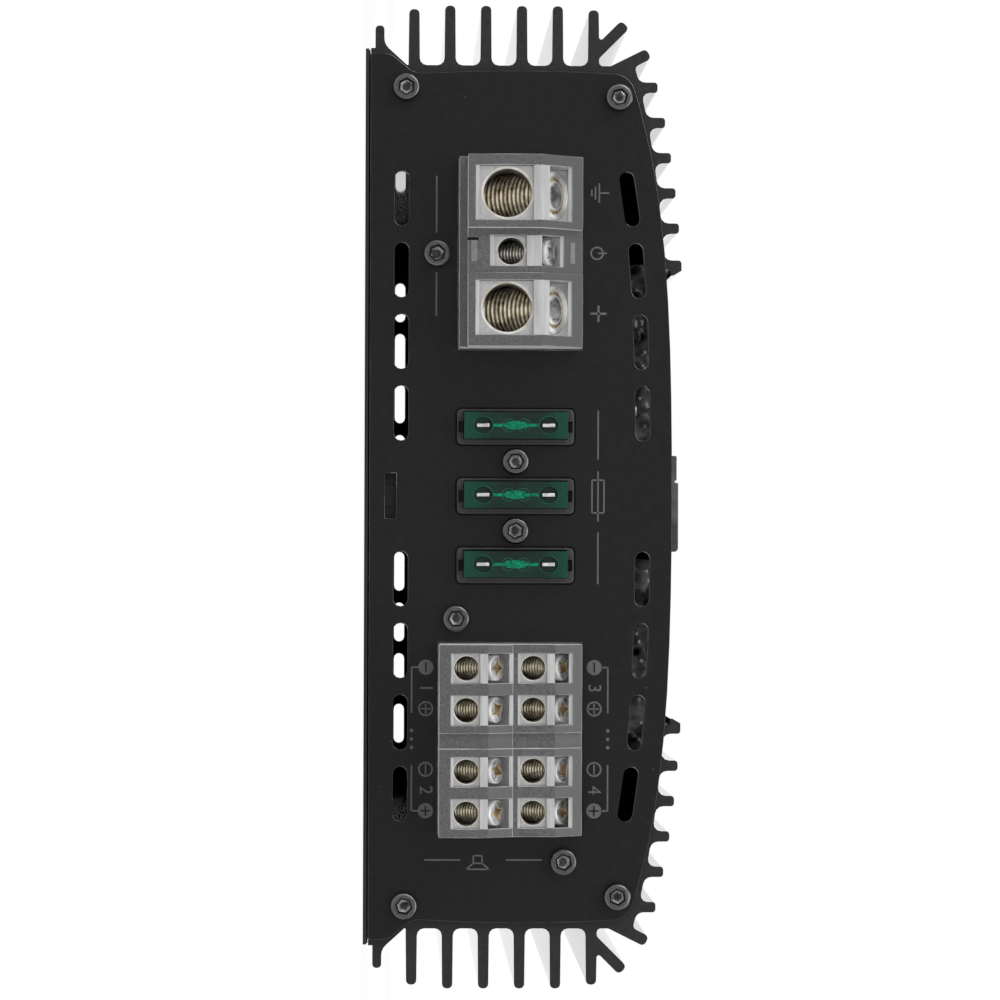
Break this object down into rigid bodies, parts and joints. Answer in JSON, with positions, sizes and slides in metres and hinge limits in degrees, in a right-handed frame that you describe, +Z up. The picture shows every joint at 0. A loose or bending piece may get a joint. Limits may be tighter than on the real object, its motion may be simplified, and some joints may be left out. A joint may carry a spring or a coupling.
{
  "type": "car amplifier",
  "caption": "Car audio amplifier: a finned black heatsink between end panels, with screw terminals and blade fuses at one end and signal inputs and trim knobs at the other.",
  "frame": {"origin": "under the middle of the base plate, where the amplifier rests", "axes": "+X across the fins, +Y along the extrusion from the terminal end to the input end, +Z up out of the base"},
  "size_m": [0.1808, 0.321, 0.0593],
  "materials": {
    "anodised_black": "satin black anodised extrusion",
    "sheet_black": "satin black sheet steel",
    "panel_black": "smooth semi-gloss black",
    "badge_black": "gloss black, plain",
    "screw_steel": "dark oxide steel",
    "clear_plastic": "clear, lightly frosted",
    "nickel_plate": "bright nickel plate",
    "holder_black": "black moulded plastic",
    "fuse_green": "translucent green",
    "jack_black": "black moulded plastic",
    "knob_black": "black moulded plastic",
    "lens_red": "red indicator lens",
    "board_green": "green solder mask",
    "winding_copper": "enamelled copper winding",
    "can_sleeve": "dark blue sleeve",
    "bank_aluminium": "bare aluminium"
  },
  "bodies": {
    "chassis": {"heatsink": "anodised_black", "base_plate": "sheet_black", "terminal_panel": "panel_black", "input_panel": "panel_black", "top_cover": "panel_black", "badge": "badge_black", "terminal_screw_lower_left": "screw_steel", "terminal_screw_lower_right": "screw_steel", "terminal_screw_upper_left": "screw_steel", "terminal_screw_upper_right": "screw_steel", "input_screw_lower_left": "screw_steel", "input_screw_lower_right": "screw_steel", "input_screw_upper_left": "screw_steel", "input_screw_upper_right": "screw_steel", "power_housing_screw": "screw_steel", "fuse_holder_screw_left": "screw_steel", "fuse_holder_screw_right": "screw_steel", "speaker_housing_screw_low": "screw_steel", "speaker_housing_screw_high": "screw_steel", "power_housing": "clear_plastic", "ground_clamp": "nickel_plate", "remote_clamp": "nickel_plate", "supply_clamp": "nickel_plate", "speaker_housing": "clear_plastic", "speaker_clamp_1": "nickel_plate", "speaker_clamp_2": "nickel_plate", "speaker_clamp_3": "nickel_plate", "speaker_clamp_4": "nickel_plate", "speaker_clamp_5": "nickel_plate", "speaker_clamp_6": "nickel_plate", "speaker_clamp_7": "nickel_plate", "speaker_clamp_8": "nickel_plate", "fuse_holder": "holder_black", "rca_block": "jack_black", "indicator_lens": "lens_red", "circuit_board": "board_green", "power_transformer": "winding_copper", "filter_capacitor": "can_sleeve", "transistor_bank_left": "bank_aluminium", "transistor_bank_right": "bank_aluminium"},
    "ground_clamp_screw": {"ground_clamp_screw": "nickel_plate"},
    "remote_clamp_screw": {"remote_clamp_screw": "nickel_plate"},
    "supply_clamp_screw": {"supply_clamp_screw": "nickel_plate"},
    "speaker_clamp_1_screw": {"speaker_clamp_1_screw": "nickel_plate"},
    "speaker_clamp_2_screw": {"speaker_clamp_2_screw": "nickel_plate"},
    "speaker_clamp_3_screw": {"speaker_clamp_3_screw": "nickel_plate"},
    "speaker_clamp_4_screw": {"speaker_clamp_4_screw": "nickel_plate"},
    "speaker_clamp_5_screw": {"speaker_clamp_5_screw": "nickel_plate"},
    "speaker_clamp_6_screw": {"speaker_clamp_6_screw": "nickel_plate"},
    "speaker_clamp_7_screw": {"speaker_clamp_7_screw": "nickel_plate"},
    "speaker_clamp_8_screw": {"speaker_clamp_8_screw": "nickel_plate"},
    "fuse_1": {"fuse_1": "fuse_green"},
    "fuse_2": {"fuse_2": "fuse_green"},
    "fuse_3": {"fuse_3": "fuse_green"},
    "front_gain_knob": {"front_gain_knob": "knob_black"},
    "rear_gain_knob": {"rear_gain_knob": "knob_black"},
    "front_filter_knob": {"front_filter_knob": "knob_black"},
    "rear_filter_knob": {"rear_filter_knob": "knob_black"},
    "front_filter_switch": {"front_filter_switch": "knob_black"},
    "rear_filter_switch": {"rear_filter_switch": "knob_black"}
  },
  "joints": [
    {"name": "ground_screw_travel", "type": "slide", "parent": "chassis", "child": "ground_clamp_screw", "axis": [0, -0.5446, 0.8387], "range_m": [0, 0.0026]},
    {"name": "remote_screw_travel", "type": "slide", "parent": "chassis", "child": "remote_clamp_screw", "axis": [0, -0.5446, 0.8387], "range_m": [0, 0.0014]},
    {"name": "supply_screw_travel", "type": "slide", "parent": "chassis", "child": "supply_clamp_screw", "axis": [0, -0.5446, 0.8387], "range_m": [0, 0.0026]},
    {"name": "speaker_screw_1_travel", "type": "slide", "parent": "chassis", "child": "speaker_clamp_1_screw", "axis": [0, -0.6157, 0.788], "range_m": [0, 0.0015]},
    {"name": "speaker_screw_2_travel", "type": "slide", "parent": "chassis", "child": "speaker_clamp_2_screw", "axis": [0, -0.6157, 0.788], "range_m": [0, 0.0015]},
    {"name": "speaker_screw_3_travel", "type": "slide", "parent": "chassis", "child": "speaker_clamp_3_screw", "axis": [0, -0.6157, 0.788], "range_m": [0, 0.0015]},
    {"name": "speaker_screw_4_travel", "type": "slide", "parent": "chassis", "child": "speaker_clamp_4_screw", "axis": [0, -0.6157, 0.788], "range_m": [0, 0.0015]},
    {"name": "speaker_screw_5_travel", "type": "slide", "parent": "chassis", "child": "speaker_clamp_5_screw", "axis": [0, -0.6157, 0.788], "range_m": [0, 0.0015]},
    {"name": "speaker_screw_6_travel", "type": "slide", "parent": "chassis", "child": "speaker_clamp_6_screw", "axis": [0, -0.6157, 0.788], "range_m": [0, 0.0015]},
    {"name": "speaker_screw_7_travel", "type": "slide", "parent": "chassis", "child": "speaker_clamp_7_screw", "axis": [0, -0.6157, 0.788], "range_m": [0, 0.0015]},
    {"name": "speaker_screw_8_travel", "type": "slide", "parent": "chassis", "child": "speaker_clamp_8_screw", "axis": [0, -0.6157, 0.788], "range_m": [0, 0.0015]},
    {"name": "fuse_1_pull", "type": "slide", "parent": "chassis", "child": "fuse_1", "axis": [0, -1, 0], "range_m": [0, 0.01]},
    {"name": "fuse_2_pull", "type": "slide", "parent": "chassis", "child": "fuse_2", "axis": [0, -1, 0], "range_m": [0, 0.01]},
    {"name": "fuse_3_pull", "type": "slide", "parent": "chassis", "child": "fuse_3", "axis": [0, -1, 0], "range_m": [0, 0.01]},
    {"name": "front_gain_turn", "type": "hinge", "parent": "chassis", "child": "front_gain_knob", "pos_m": [-0.0615, 0.15, 0.0275], "axis": [0, 1, 0], "range_deg": [-140, 140]},
    {"name": "rear_gain_turn", "type": "hinge", "parent": "chassis", "child": "rear_gain_knob", "pos_m": [-0.0465, 0.15, 0.0275], "axis": [0, 1, 0], "range_deg": [-140, 140]},
    {"name": "front_filter_turn", "type": "hinge", "parent": "chassis", "child": "front_filter_knob", "pos_m": [-0.0315, 0.15, 0.0275], "axis": [0, 1, 0], "range_deg": [-140, 140]},
    {"name": "rear_filter_turn", "type": "hinge", "parent": "chassis", "child": "rear_filter_knob", "pos_m": [-0.0165, 0.15, 0.0275], "axis": [0, 1, 0], "range_deg": [-140, 140]},
    {"name": "front_filter_slide", "type": "slide", "parent": "chassis", "child": "front_filter_switch", "axis": [1, 0, 0], "range_m": [-0.002, 0.002]},
    {"name": "rear_filter_slide", "type": "slide", "parent": "chassis", "child": "rear_filter_switch", "axis": [1, 0, 0], "range_m": [-0.002, 0.002]}
  ]
}
